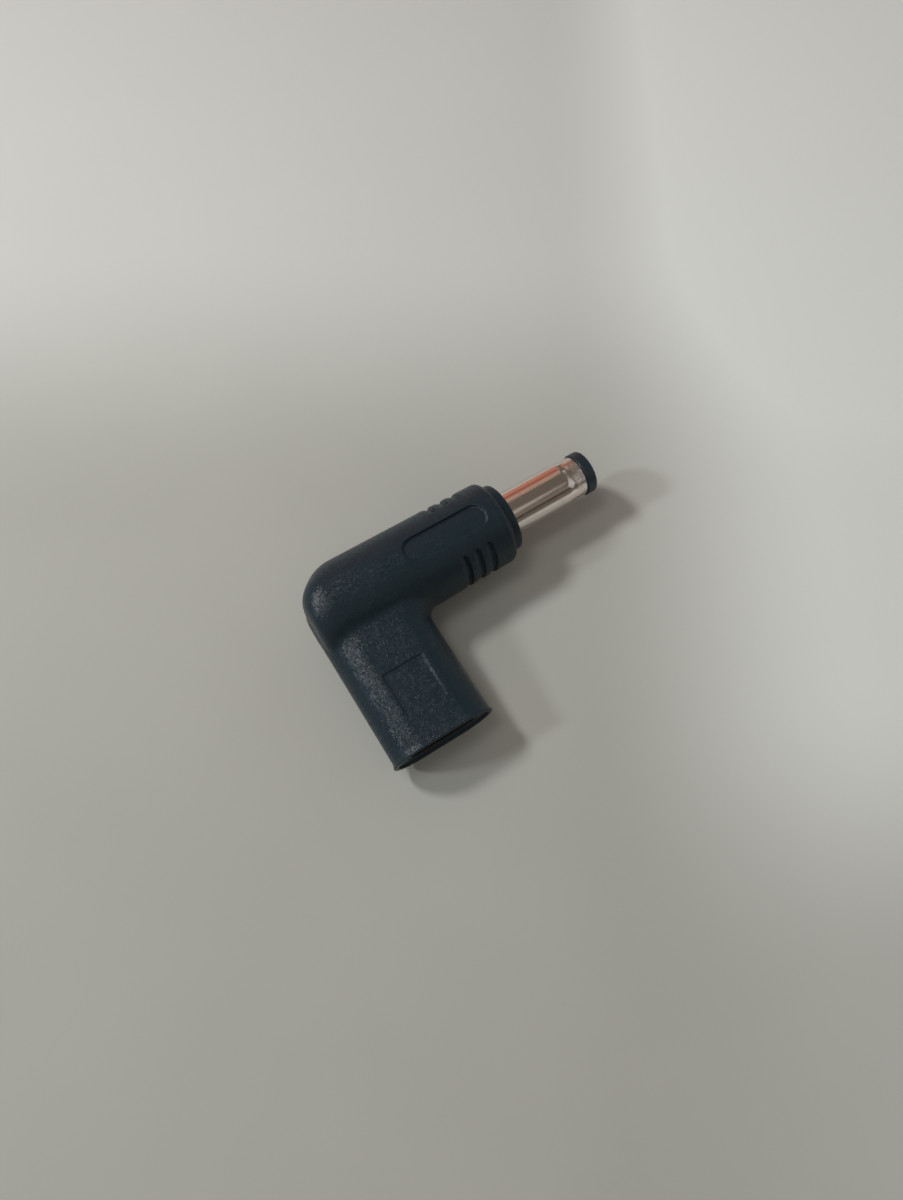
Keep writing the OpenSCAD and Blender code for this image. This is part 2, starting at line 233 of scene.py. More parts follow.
@dataclass(frozen=True)
class Finish:
    """What all finishes share; their sizes and heights are in millimetres."""

    name: str

    def surface(self, graph: Graph) -> dict[str, object]:
        """Wires up the finish; each one has its own way.

        Args:
            graph: The node tree.

        Returns:
            The shader's inputs by name.
        """
        raise NotImplementedError

    def material(self) -> bpy.types.Material:
        """Builds the finish as a material, or finds it again.

        Returns:
            The material.
        """
        known = bpy.data.materials.get(self.name)
        if known:
            return known
        material = bpy.data.materials.new(self.name)
        material.use_nodes = True
        graph = Graph(material.node_tree)
        shader = graph.add("BsdfPrincipled", sockets=self.surface(graph))
        graph.add("OutputMaterial", sockets={"Surface": shader})
        return material


@dataclass(frozen=True)
class MouldedPlastic(Finish):
    """Satin plastic with the spark-eroded grain of its mould and a parting line round the middle."""

    dark: Colour = (0.0070, 0.0176, 0.0262)
    light: Colour = (0.0090, 0.0210, 0.0304)
    line: Colour = (0.003, 0.004, 0.005)
    rough: float = 0.30
    gloss: float = 0.26
    cloud: float = 3.5
    grain: float = 0.21
    lean: float = 0.26
    pit_h: float = 0.02
    fine_share: float = 0.45
    fine_h: float = 0.016
    seam: float = 0.05
    seam_core: float = 0.3
    seam_h: float = 0.028

    def surface(self, graph: Graph) -> dict[str, object]:
        """Mottles the colour, grains the surface and draws the parting line."""
        point, _, _, height = graph.place()
        cloud = graph.noise(point, self.cloud, 3.0, 0.55)
        pits = graph.cells(point, self.grain)
        fine = graph.noise(point, self.grain * self.fine_share, rough=0.6)
        flats = graph.facets(point, self.grain, self.lean)
        seam = abs(height).over(self.seam, self.seam_core * self.seam)
        colour = graph.mix(cloud.step(*CLOUD_EDGES), self.dark, self.light)
        colour = graph.mix(pits.step(0.2, 0.6) * 0.4, colour, self.light)
        relief = flats + self.pit_h * pits + self.fine_h * fine - self.seam_h * seam
        return {
            "Base Color": graph.mix(seam * 0.6, colour, self.line),
            "Roughness": self.rough + 0.05 * cloud,
            "Specular IOR Level": self.gloss,
            "Normal": graph.bump(relief, 1.0, strength=0.9),
        }


@dataclass(frozen=True)
class SmoothPlastic(Finish):
    """Plastic from a smooth mould, with faint flow clouds and small scuffs."""

    dark: Colour = (0.0050, 0.0148, 0.0230)
    light: Colour = (0.0066, 0.0182, 0.0284)
    rough: float = 0.36
    scuff: float = 0.12
    scuff_h: float = 0.012
    cloud: float = 1.4

    def surface(self, graph: Graph) -> dict[str, object]:
        """Clouds the colour and scuffs the gloss."""
        point, *_ = graph.place()
        cloud = graph.noise(point, self.cloud, 3.0, 0.6)
        scuffs = graph.noise(point, self.scuff, 4.0, 0.65)
        return {
            "Base Color": graph.mix(cloud.step(*CLOUD_EDGES), self.dark, self.light),
            "Roughness": self.rough + 0.16 * scuffs.step(0.4, 0.75),
            "Normal": graph.bump(scuffs, self.scuff_h, strength=0.5),
        }


@dataclass(frozen=True)
class TurnedMetal(Finish):
    """Plated metal turned about the plug's axis: fine rings, drag marks along it, a duller rolled band."""

    bright: Colour = (0.80, 0.725, 0.69)
    worn: Colour = (0.68, 0.61, 0.57)
    rough: float = 0.12
    radius: float = 2.75
    ring: float = 0.05
    drag: float = 0.09
    drag_stretch: float = 0.05
    wear: float = 1.1
    dent: float = 0.55
    mark_h: float = 0.012
    ring_share: float = 0.03
    drag_share: float = 0.05
    dent_share: float = 5.0
    band: Pair = (9.25, 9.65)

    def surface(self, graph: Graph) -> dict[str, object]:
        """Rings and drags the surface, and dents and dulls the rolled band."""
        point, along, across, height = graph.place()
        round_it = height.angle_to(across) * (self.radius * MM)
        lengthwise = graph.add("CombineXYZ", sockets={0: along})
        unrolled = graph.add("CombineXYZ", sockets={0: along * self.drag_stretch, 1: round_it})
        rings = graph.noise(lengthwise, self.ring, 3.0, 0.7)
        drags = graph.noise(unrolled, self.drag, 3.0, 0.7)
        band = along.over(*self.band)
        dents = graph.noise(point, self.dent)
        dull = graph.noise(point, self.wear, 4.0, 0.6).step(0.45, 0.75)
        marks = rings * self.ring_share + drags * self.drag_share + dents * band * self.dent_share
        return {
            "Base Color": graph.mix(dull * 0.5 + band * 0.35, self.bright, self.worn),
            "Metallic": 1.0,
            "Roughness": self.rough + 0.10 * dull + 0.06 * drags.step(0.45, 0.7) + 0.10 * band,
            "Normal": graph.bump(marks, self.mark_h, strength=0.8),
        }


class Grain(Enum):
    """How a bare metal was worked, as stretches of its grain along X, Y and Z."""

    CAST = (1.0, 1.0, 1.0)
    DRAWN_ALONG_PLUG = (0.08, 1.0, 1.0)
    DRAWN_ALONG_SOCKET = (1.0, 0.08, 1.0)


@dataclass(frozen=True)
class BareMetal(Finish):
    """Sheet, wire or cast metal with a grain and a little tarnish."""

    bright: Colour = (0.70, 0.70, 0.68)
    tarnish: Colour = (0.45, 0.44, 0.42)
    rough: float = 0.25
    size: float = 0.12
    grain: Grain = Grain.CAST
    grain_h: float = 0.01
    cloud: float = 0.9

    def surface(self, graph: Graph) -> dict[str, object]:
        """Draws the grain and clouds the metal with tarnish."""
        point, *_ = graph.place()
        drawn = graph.add("Mapping", sockets={"Vector": point, "Scale": self.grain.value})
        lines = graph.noise(drawn, self.size, 3.0, 0.6)
        cloud = graph.noise(point, self.cloud, 4.0, 0.6)
        return {
            "Base Color": graph.mix(cloud.step(0.4, 0.75), self.bright, self.tarnish),
            "Metallic": 1.0,
            "Roughness": self.rough + 0.15 * cloud.step(0.4, 0.8) + 0.06 * lines,
            "Normal": graph.bump(lines, self.grain_h, strength=0.6),
        }


@dataclass(frozen=True)
class Laminate(Finish):
    """Glass-cloth board under a solder mask: the weave shows faintly through it."""

    mask: Colour = (0.010, 0.060, 0.022)
    cloth: Colour = (0.028, 0.110, 0.045)
    rough: float = 0.30
    thread: float = 0.35
    thread_h: float = 0.01
    dust: float = 0.5

    def surface(self, graph: Graph) -> dict[str, object]:
        """Weaves two sets of threads under the mask."""
        point, along, across, _ = graph.place()
        turn = 2.0 * math.pi / (self.thread * MM)
        warp = along.math("SINE", along * turn)
        weft = across.math("SINE", across * turn)
        weave = (warp * weft).step(-0.6, 0.9)
        dust = graph.noise(point, self.dust, 3.0, 0.6)
        return {
            "Base Color": graph.mix(weave * 0.7 + dust * 0.2, self.mask, self.cloth),
            "Roughness": self.rough + 0.15 * dust,
            "Normal": graph.bump(weave, self.thread_h, strength=0.5),
        }


@dataclass(frozen=True)
class TableTop(Finish):
    """Pale lacquered table with faint clouds, a fine orange-peel surface and painted light that pales it
    behind the part and to its right.
    """

    pale: Colour = (0.390, 0.399, 0.378)
    deep: Colour = (0.371, 0.380, 0.360)
    # Colour of the painted light that pales the table behind the part and to its right.
    painted_light_colour: Colour = (0.71, 0.745, 0.735)
    rough: float = 0.70
    gloss: float = 0.12
    cloud: float = 38.0
    peel: float = 0.9
    peel_h: float = 0.01
    away: Pair = (0.517, 0.856)
    aside: Pair = (0.845, -0.534)
    behind_share: float = 0.52
    behind_span: Pair = (4.0, 50.0)
    beside_share: float = 0.9
    beside_span: Pair = (9.0, 44.0)
    near_share: float = 0.2
    near_span: Pair = (-56.0, -21.0)

    def surface(self, graph: Graph) -> dict[str, object]:
        """Clouds the lacquer, and paints light on the table: paler behind the part and to its right."""
        point, along, across, _ = graph.place()
        cloud = graph.noise(point, self.cloud, 3.0)
        peel = graph.noise(point, self.peel)
        behind = along * self.away[0] + across * self.away[1]
        beside = along * self.aside[0] + across * self.aside[1]
        # Painted light: the table is painted paler behind the part and to its right, less so towards its near
        # end.
        painted_light_behind = self.behind_share * behind.over(*self.behind_span)
        near_end = self.near_share + (1.0 - self.near_share) * behind.over(*self.near_span)
        painted_light_right = self.beside_share * beside.over(*self.beside_span) * near_end
        colour = graph.mix(cloud.step(*CLOUD_EDGES), self.deep, self.pale)
        return {
            "Base Color": graph.mix(painted_light_behind + painted_light_right, colour, self.painted_light_colour),
            "Roughness": self.rough + 0.05 * cloud,
            "Specular IOR Level": self.gloss,
            "Normal": graph.bump(peel, self.peel_h, strength=0.3),
        }


@dataclass(frozen=True)
class Card(Finish):
    """A studio card that shows its own, slightly uneven light."""

    glow: Colour = (1.0, 1.0, 1.0)
    dim: float = 0.8
    cloud: float = 120.0

    def surface(self, graph: Graph) -> dict[str, object]:
        """Clouds the card's light a little."""
        point, *_ = graph.place()
        cloud = graph.noise(point, self.cloud)
        dimmed = tuple(part * self.dim for part in self.glow)
        return {
            "Base Color": (0.0, 0.0, 0.0, 1.0),
            "Roughness": 0.9,
            "Specular IOR Level": 0.0,
            "Emission Color": graph.mix(cloud.step(*CLOUD_EDGES), self.glow, dimmed),
            "Emission Strength": 1.0,
        }


# Modelling


def unselect() -> None:
    """Leaves edit mode and selects nothing."""
    if bpy.context.active_object and bpy.context.active_object.mode != "OBJECT":
        bpy.ops.object.mode_set(mode="OBJECT")
    bpy.ops.object.select_all(action="DESELECT")


def focus(*pieces: Piece) -> None:
    """Selects some pieces alone.

    Args:
        pieces: The pieces; the first becomes the active one.
    """
    unselect()
    for piece in pieces:
        piece.select_set(True)
    bpy.context.view_layer.objects.active = pieces[0]


def primitive(kind: str, name: str, **settings: object) -> Piece:
    """Adds one of Blender's primitive meshes, with its place and turn in its mesh.

    Args:
        kind: The primitive, as its operator calls it.
        name: The new piece's name.
        settings: The operator's settings.

    Returns:
        The piece.
    """
    unselect()
    getattr(bpy.ops.mesh, f"primitive_{kind}_add")(**settings)
    piece = bpy.context.active_object
    piece.name = piece.data.name = name
    bpy.ops.object.transform_apply(location=True, rotation=True, scale=True)
    return piece


@contextmanager
def editing(piece: Piece) -> Iterator[None]:
    """Opens a piece in edit mode with all of it selected, and closes it again.

    Args:
        piece: The piece.
    """
    focus(piece)
    bpy.ops.object.mode_set(mode="EDIT")
    bpy.ops.mesh.select_mode(type="VERT")
    bpy.ops.mesh.select_all(action="SELECT")
    yield
    bpy.ops.object.mode_set(mode="OBJECT")


def pick(piece: Piece, test: Callable[[Vector], bool]) -> None:
    """Selects the points of the piece in edit mode whose place passes a test.

    Args:
        piece: The piece that is open.
        test: Tells from a point's place whether it is wanted.
    """
    bpy.ops.mesh.select_all(action="DESELECT")
    mesh = bmesh.from_edit_mesh(piece.data)
    for point in mesh.verts:
        point.select_set(test(point.co))
    mesh.select_flush(True)
    bmesh.update_edit_mesh(piece.data)


def face_out() -> None:
    """Turns all faces of the piece in edit mode outwards."""
    bpy.ops.mesh.select_all(action="SELECT")
    bpy.ops.mesh.normals_make_consistent(inside=False)


def turned(name: str, outline: Outline, steps: int = 96, closed: bool = False) -> Piece:
    """Spins an outline about the X axis.

    Args:
        name: The new piece's name.
        outline: Points as places along X and radii.
        steps: Number of facets round the axis.
        closed: Whether the last point runs back to the first.

    Returns:
        The piece.
    """
    piece = primitive("plane", name, size=1.0)
    points = [*outline, outline[0]] if closed else list(outline)
    with editing(piece):
        bpy.ops.mesh.merge(type="CENTER")
        bpy.ops.transform.translate(value=(points[0][0], 0.0, points[0][1]))
        for (x0, r0), (x1, r1) in zip(points, points[1:]):
            bpy.ops.mesh.extrude_vertices_move(TRANSFORM_OT_translate={"value": (x1 - x0, 0.0, r1 - r0)})
        bpy.ops.mesh.select_all(action="SELECT")
        bpy.ops.mesh.remove_doubles(threshold=SAME_POINT)
        bpy.ops.mesh.spin(steps=steps, angle=2.0 * math.pi, center=ORIGIN, axis=(1.0, 0.0, 0.0))
        bpy.ops.mesh.select_all(action="SELECT")
        bpy.ops.mesh.remove_doubles(threshold=NEAR)
        face_out()
    return piece


def oval_loop(name: str, spine: float, radius: float, facets: int) -> Piece:
    """Draws the outline of a flat oval in the XZ plane, as wire.

    Args:
        name: The new piece's name.
        spine: Distance between the centres of its round ends.
        radius: Radius of the ends.
        facets: Number of points, an even one.

    Returns:
        The piece.
    """
    turn = (math.pi / 2.0, math.pi / facets, 0.0)
    piece = primitive("circle", name, vertices=facets, radius=radius, rotation=turn)
    with editing(piece):
        for side in (-1.0, 1.0):
            pick(piece, lambda p: p.x * side > 0.0)
            bpy.ops.transform.translate(value=(side * spine / 2.0, 0.0, 0.0))
    return piece


def oval_bar(name: str, width: float, height: float, length: float) -> Piece:
    """Makes a straight bar of oval section along Y, with its middle at the origin.

    Args:
        name: The new piece's name.
        width: Size along X, the larger one.
        height: Size along Z.
        length: Size along Y.

    Returns:
        The piece.
    """
    piece = oval_loop(name, width - height, height / 2.0, facets=64)
    with editing(piece):
        bpy.ops.transform.translate(value=(0.0, length / 2.0, 0.0))
        bpy.ops.mesh.edge_face_add()
        bpy.ops.mesh.extrude_region_move(TRANSFORM_OT_translate={"value": (0.0, -length, 0.0)})
        face_out()
    return piece


def shift(piece: Piece, x: float = 0.0, y: float = 0.0) -> None:
    """Moves a piece within its mesh."""
    with editing(piece):
        bpy.ops.transform.translate(value=(x, y, 0.0))


def quarter_turn(piece: Piece, axis: str) -> None:
    """Turns a piece by a right angle about an axis through the origin."""
    with editing(piece):
        bpy.ops.transform.rotate(value=math.pi / 2.0, orient_axis=axis, center_override=ORIGIN)


def modify(piece: Piece, kind: str, **settings: object) -> None:
    """Adds a modifier to a piece and applies it.

    Args:
        piece: The piece.
        kind: The modifier's type.
        settings: The modifier's settings.
    """
    focus(piece)
    step = piece.modifiers.new(kind.lower(), kind)
    for name, value in settings.items():
        setattr(step, name, value)
    bpy.ops.object.modifier_apply(modifier=step.name)


def combine(piece: Piece, tool: Piece, operation: str = "DIFFERENCE") -> None:
    """Cuts a tool from a piece, or keeps what they share, and takes the tool away.

    Args:
        piece: The piece.
        tool: The other shape.
        operation: The boolean's operation.
    """
    modify(piece, "BOOLEAN", object=tool, operation=operation, solver="MANIFOLD")
    bpy.data.meshes.remove(tool.data)


def weigh(piece: Piece, name: str, weight: Callable[[Vector], float]) -> None:
    """Gives a piece a group of points, each with the weight that its place asks for.

    Args:
        piece: The piece.
        name: The group's name.
        weight: Gives a weight from 0 to 1 for a place.
    """
    group = piece.vertex_groups.new(name=name)
    for point in piece.data.vertices:
        share = weight(point.co)
        if share > 0.0:
            group.add([point.index], share, "REPLACE")


def install(piece: Piece, finish: Finish, node: str, angle: float) -> None:
    """Brings a modelled piece to metres, dresses it and sets it in the place of its CAD node.

    Args:
        piece: The piece, in millimetres.
        finish: Its finish.
        node: The CAD node that it stands for.
        angle: Edges sharper than this, in degrees, stay crisp.
    """
    with editing(piece):
        bpy.ops.transform.resize(value=(MM, MM, MM), center_override=ORIGIN)
    focus(piece)
    bpy.ops.object.shade_smooth_by_angle(angle=math.radians(angle))
    piece.vertex_groups.clear()
    piece.data.materials.clear()
    piece.data.materials.append(finish.material())
    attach(piece, ROOT)
    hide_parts(node)
    LOG.info("%s: %d faces, for %s", piece.name, len(piece.data.polygons), node)


def ease(low: float, high: float, value: float) -> float:
    """Eases from 0 at low to 1 at high."""
    share = min(max((value - low) / (high - low), 0.0), 1.0)
    return share * share * (3.0 - 2.0 * share)


def arc(centre: Pair, radius: float, start: float, end: float, steps: int = 6) -> Outline:
    """Points of an arc in an outline.

    Args:
        centre: Place along the axis and radius of the arc's centre.
        radius: The arc's radius.
        start: Angle of its first point, in degrees from the axis.
        end: Angle of its last point.
        steps: Number of its segments.

    Returns:
        The points, both ends included.
    """
    turns = [math.radians(start + (end - start) * i / steps) for i in range(steps + 1)]
    return [(centre[0] + radius * math.cos(t), centre[1] + radius * math.sin(t)) for t in turns]


# Sub-assemblies


@dataclass
class Housing:
    """The moulded L-shaped body: round arm, elbow, flat arm and what is moulded into them.

    Each of arm_rings is a place along Y and what the flat arm's radius gains there.
    """

    collar_r: float = 4.35
    collar_edge: float = 0.25
    shoulder_x: float = -1.2
    shoulder_edge: float = 0.75
    front_r: float = 5.3
    back_r: float = 5.55
    elbow_x: float = -21.5
    elbow_powers: tuple[float, float, float] = (2.0, 5.0, 9.0)
    arm_x: float = -20.9
    arm_w: float = 12.6
    arm_h: float = 7.1
    arm_rings: tuple[Pair, ...] = ((2.6, -1.6), (1.4, -0.5), (0.0, 0.0))
    mouth_y: float = -19.65
    flare: float = 0.03
    flare_l: float = 2.2
    flare_steps: int = 14
    flare_power: float = 1.6
    lip: float = 0.2
    lip_l: float = 0.6
    lip_power: float = 1.3
    rim_edge: float = 0.1
    rim_w: float = 0.6
    rim_depth: float = 0.28
    corner_r: float = 2.0
    bend_inset: float = 0.03
    bend_overlap: float = 0.2
    valley_start_y: Pair = (-7.8, -5.6)
    valley_stop_y: Pair = (-2.6, -1.0)
    valley_stop_x: Pair = (-13.4, -11.0)
    valley_start_z: Pair = (1.4, 2.8)
    valley_rounds: int = 180
    groove_x: tuple[float, ...] = (-4.3, -6.02, -7.74)
    groove_w: float = 1.1
    groove_depth: float = 0.45
    groove_reach: float = 4.2
    groove_room: float = 0.2
    pad_x: float = -8.75
    pad_l: float = 11.0
    pad_w: float = 3.2
    pad_depth: float = 0.2
    pad_shift: float = -0.5
    window_y: float = -13.2
    window_w: float = 5.1
    window_l: float = 5.5
    window_depth: float = 0.03
    window_slope: float = 0.14
    window_room: float = 2.0
    socket_w: float = 8.98
    socket_h: float = 3.30
    socket_back: float = -12.5
    barrel_r: float = 2.77
    root_r: float = 2.97
    root_x: float = -5.6
    root_front: float = -0.3
    plug_past: float = 1.0
    mouth_past: float = 2.0
    skin_r: float = 7.0
    through: float = 21.0
    coarse: float = 0.10
    fine: float = 0.085
    triangles: int = 180_000

    def arm_r(self, x: float) -> float:
        """Radius of the round arm at a place along the plug's axis."""
        length = self.shoulder_x - self.elbow_x
        return self.front_r + (self.back_r - self.front_r) * (self.shoulder_x - x) / length

    def round_arm(self) -> Piece:
        """Turns the round arm with its shoulder and collar.

        Returns:
            The piece.
        """
        collar = arc((-self.collar_edge, self.collar_r - self.collar_edge), self.collar_edge, 0.0, 90.0)
        knee = (self.shoulder_x - self.shoulder_edge, self.front_r - self.shoulder_edge)
        shoulder = arc(knee, self.shoulder_edge, 0.0, 90.0, 8)
        outline = [
            (0.0, 0.0),
            *collar,
            (self.shoulder_x, self.collar_r),
            *shoulder,
            (self.elbow_x, self.back_r),
            (self.elbow_x, 0.0),
        ]
        return turned("round_arm", outline)

    def elbow(self) -> Piece:
        """Rounds the elbow: the end of the round arm, a ball behind and squarer towards the flat arm.

        Returns:
            The piece.
        """
        middle = (self.elbow_x, 0.0, 0.0)
        piece = primitive(
            "uv_sphere", "elbow", segments=192, ring_count=96, radius=self.back_r, location=middle
        )
        for point in piece.data.vertices:
            x, ring = point.co.x - self.elbow_x, math.hypot(point.co.y, point.co.z)
            if x < 0.0 and ring > 0.0:
                power = self.end_power(-point.co.y / ring)
                c, s = abs(x) / self.back_r, ring / self.back_r
                stretch = (c**power + s**power) ** (-1.0 / power)
                point.co = (self.elbow_x + x * stretch, point.co.y * stretch, point.co.z * stretch)
        return piece

    def end_power(self, towards_mouth: float) -> float:
        """How square the elbow's end is on the side that looks towards the mouth by a share of -1 to 1."""
        behind, beside, before = self.elbow_powers
        return (
            behind
            + (beside - behind) * ease(-1.0, 0.0, towards_mouth)
            + (before - beside) * ease(0.0, 1.0, towards_mouth)
        )

    def flat_arm(self) -> Piece:
        """Draws the flat arm out of an oval, ring by ring, to its flared and rounded mouth.

        Returns:
            The piece.
        """
        radius = self.arm_h / 2.0
        flare_y = self.mouth_y + self.flare_l
        rings = [*self.arm_rings, (flare_y, 0.0)]
        rim_y = self.mouth_y + self.rim_edge
        for i in range(1, self.flare_steps + 1):
            y = flare_y + (rim_y - flare_y) * i / self.flare_steps
            share = min(max((rim_y + self.lip_l - y) / self.lip_l, 0.0), 1.0)
            spread = self.flare * (i / self.flare_steps) ** self.flare_power
            rings.append((y, spread + self.lip * share**self.lip_power))
        for along, out in arc((0.0, 0.0), self.rim_edge, 75.0, 0.0):
            rings.append((rim_y - along, self.flare + self.lip - self.rim_edge + out))
        piece = oval_loop("flat_arm", self.arm_w - self.arm_h, radius, facets=96)
        with editing(piece):
            bpy.ops.transform.translate(value=(self.arm_x, rings[0][0], 0.0))
            bpy.ops.mesh.edge_face_add()
            place, reach = rings[0][0], radius
            for y, offset in rings:
                if y < place:
                    pick(piece, lambda p: p.y < place + NEAR)
                    step = (0.0, y - place, 0.0)
                    bpy.ops.mesh.extrude_region_move(TRANSFORM_OT_translate={"value": step})
                place = y
                self.scale_ring(piece, place, reach, radius + offset)
                reach = radius + offset
            face_out()
        return piece

    def scale_ring(self, piece: Piece, place: float, old: float, new: float) -> None:
        """Gives the last ring of the flat arm another radius round its two spine ends.

        Args:
            piece: The arm, in edit mode.
            place: The ring's place along Y.
            old: Its radius so far.
            new: Its new radius.
        """
        end = (self.arm_w - self.arm_h) / 2.0
        for side in (-1.0, 1.0):
            pick(piece, lambda p: p.y < place + NEAR and (p.x - self.arm_x) * side > 0.0)
            bpy.ops.transform.resize(
                value=(new / old, 1.0, new / old), center_override=(self.arm_x + side * end, place, 0.0)
            )

    def inner_bend(self) -> Piece:
        """Cuts the round bend in the inner corner out of a ring.

        Returns:
            The piece.
        """
        x = self.arm_x + self.arm_w / 2.0 + self.corner_r
        y = -self.arm_r(x) - self.corner_r + self.bend_inset
        ends = [
            ((x + self.bend_overlap, y, 0.0), (1.0, 0.0, 0.0)),
            ((x, y - self.bend_overlap, 0.0), (0.0, -1.0, 0.0)),
        ]
        piece = primitive(
            "torus",
            "inner_bend",
            location=(x, y, 0.0),
            major_radius=self.corner_r + self.arm_h / 2.0,
            minor_radius=self.arm_h / 2.0 - self.bend_inset,
            major_segments=128,
            minor_segments=64,
        )
        with editing(piece):
            for end, outwards in ends:
                bpy.ops.mesh.bisect(plane_co=end, plane_no=outwards, use_fill=True, clear_outer=True)
                bpy.ops.mesh.select_all(action="SELECT")
            face_out()
        return piece

    def valley(self, place: Vector) -> float:
        """Tells how much a place belongs to the soft valley between the elbow and the flat arm."""
        near = ease(*self.valley_start_y, place.y) * (1.0 - ease(*self.valley_stop_y, place.y))
        return near * ease(*self.valley_start_z, abs(place.z)) * (1.0 - ease(*self.valley_stop_x, place.x))

    def cut_grooves(self, piece: Piece) -> None:
        """Cuts the ramped grip grooves into both flanks.

        Args:
            piece: The body.
        """
        for wall_x in self.groove_x:
            ramp_x = wall_x - self.groove_w
            outline = [
                (ramp_x, self.arm_r(ramp_x)),
                (wall_x, self.arm_r(wall_x) - self.groove_depth),
                (wall_x, self.skin_r),
                (ramp_x, self.skin_r),
            ]
            cutter = turned("groove", outline, closed=True)
            width = self.groove_w + self.groove_room
            reach = oval_bar("groove_reach", 2.0 * self.groove_reach, width, self.through)
            quarter_turn(reach, "Y")
            shift(reach, x=wall_x - self.groove_w / 2.0)
            combine(cutter, reach, "INTERSECT")
            combine(piece, cutter)

    def cut_pads(self, piece: Piece) -> None:
        """Cuts the shallow pads for thumb and finger, above and below.

        Args:
            piece: The body.
        """
        back, front = self.pad_x - self.pad_l / 2.0, self.pad_x + self.pad_l / 2.0
        outline = [
            (back, self.arm_r(back) - self.pad_depth),
            (front, self.arm_r(front) - self.pad_depth),
            (front, self.skin_r),
            (back, self.skin_r),
        ]
        cutter = turned("pad", outline, closed=True)
        reach = oval_bar("pad_reach", self.pad_l, self.pad_w, self.through)
        quarter_turn(reach, "X")
        shift(reach, x=self.pad_x)
        shift(cutter, y=self.pad_shift)
        combine(cutter, reach, "INTERSECT")
        combine(piece, cutter)

    def cut_window(self, piece: Piece) -> None:
        """Cuts the bare marking window into the top of the flat arm, with a floor that rises to the mouth.

        Args:
            piece: The body.
        """
        top = self.arm_h / 2.0
        middle = (self.arm_x, self.window_y, top - self.window_depth + self.window_room / 2.0)
        cutter = primitive("cube", "window", size=self.window_room, location=middle)
        with editing(cutter):
            bpy.ops.transform.resize(
                value=(self.window_w / self.window_room, self.window_l / self.window_room, 1.0),
                center_override=(self.arm_x, self.window_y, top),
            )
            pick(cutter, lambda p: p.y > self.window_y and p.z < top)
            bpy.ops.transform.translate(value=(0.0, 0.0, -self.window_slope))
        combine(piece, cutter)

    def cut_openings(self, piece: Piece) -> None:
        """Opens the mouth for the socket, behind a thin rim, and the collar for the plug.

        Args:
            piece: The body.
        """
        front = self.mouth_y - self.mouth_past
        grown = 2.0 * (self.flare + self.lip - self.rim_w)
        depth = self.rim_depth + self.mouth_past
        recess = oval_bar("recess", self.arm_w + grown, self.arm_h + grown, depth)
        shift(recess, x=self.arm_x, y=(self.mouth_y + self.rim_depth + front) / 2.0)
        combine(piece, recess)
        socket = oval_bar("socket_room", self.socket_w, self.socket_h, self.socket_back - front)
        shift(socket, x=self.arm_x, y=(self.socket_back + front) / 2.0)
        combine(piece, socket)
        outline = [
            (self.root_x, 0.0),
            (self.root_x, self.root_r),
            (self.root_front, self.root_r),
            (self.root_front, self.barrel_r),
            (self.plug_past, self.barrel_r),
            (self.plug_past, 0.0),
        ]
        combine(piece, turned("plug_room", outline))

    def build(self) -> Piece:
        """Joins the arms into one skin, softens the valley and moulds the details.

        Returns:
            The piece.
        """
        piece = self.round_arm()
        focus(piece, self.elbow(), self.flat_arm(), self.inner_bend())
        bpy.ops.object.join()
        piece.name = piece.data.name = "moulded_housing"
        modify(piece, "REMESH", mode="VOXEL", voxel_size=self.coarse)
        modify(piece, "SMOOTH", factor=0.5, iterations=3)
        weigh(piece, "valley", self.valley)
        modify(piece, "SMOOTH", factor=0.5, iterations=self.valley_rounds, vertex_group="valley")
        self.cut_grooves(piece)
        self.cut_pads(piece)
        self.cut_window(piece)
        self.cut_openings(piece)
        modify(piece, "REMESH", mode="VOXEL", voxel_size=self.fine)
        modify(piece, "SMOOTH", factor=0.5, iterations=2)
        modify(piece, "DECIMATE", ratio=self.triangles / (2.0 * len(piece.data.polygons)))
        return piece

    def dress(self) -> None:
        """Builds the body and gives it its grained plastic."""
        plastic = MouldedPlastic("slate_moulded_plastic")
        install(self.build(), plastic, "housing", angle=60.0)


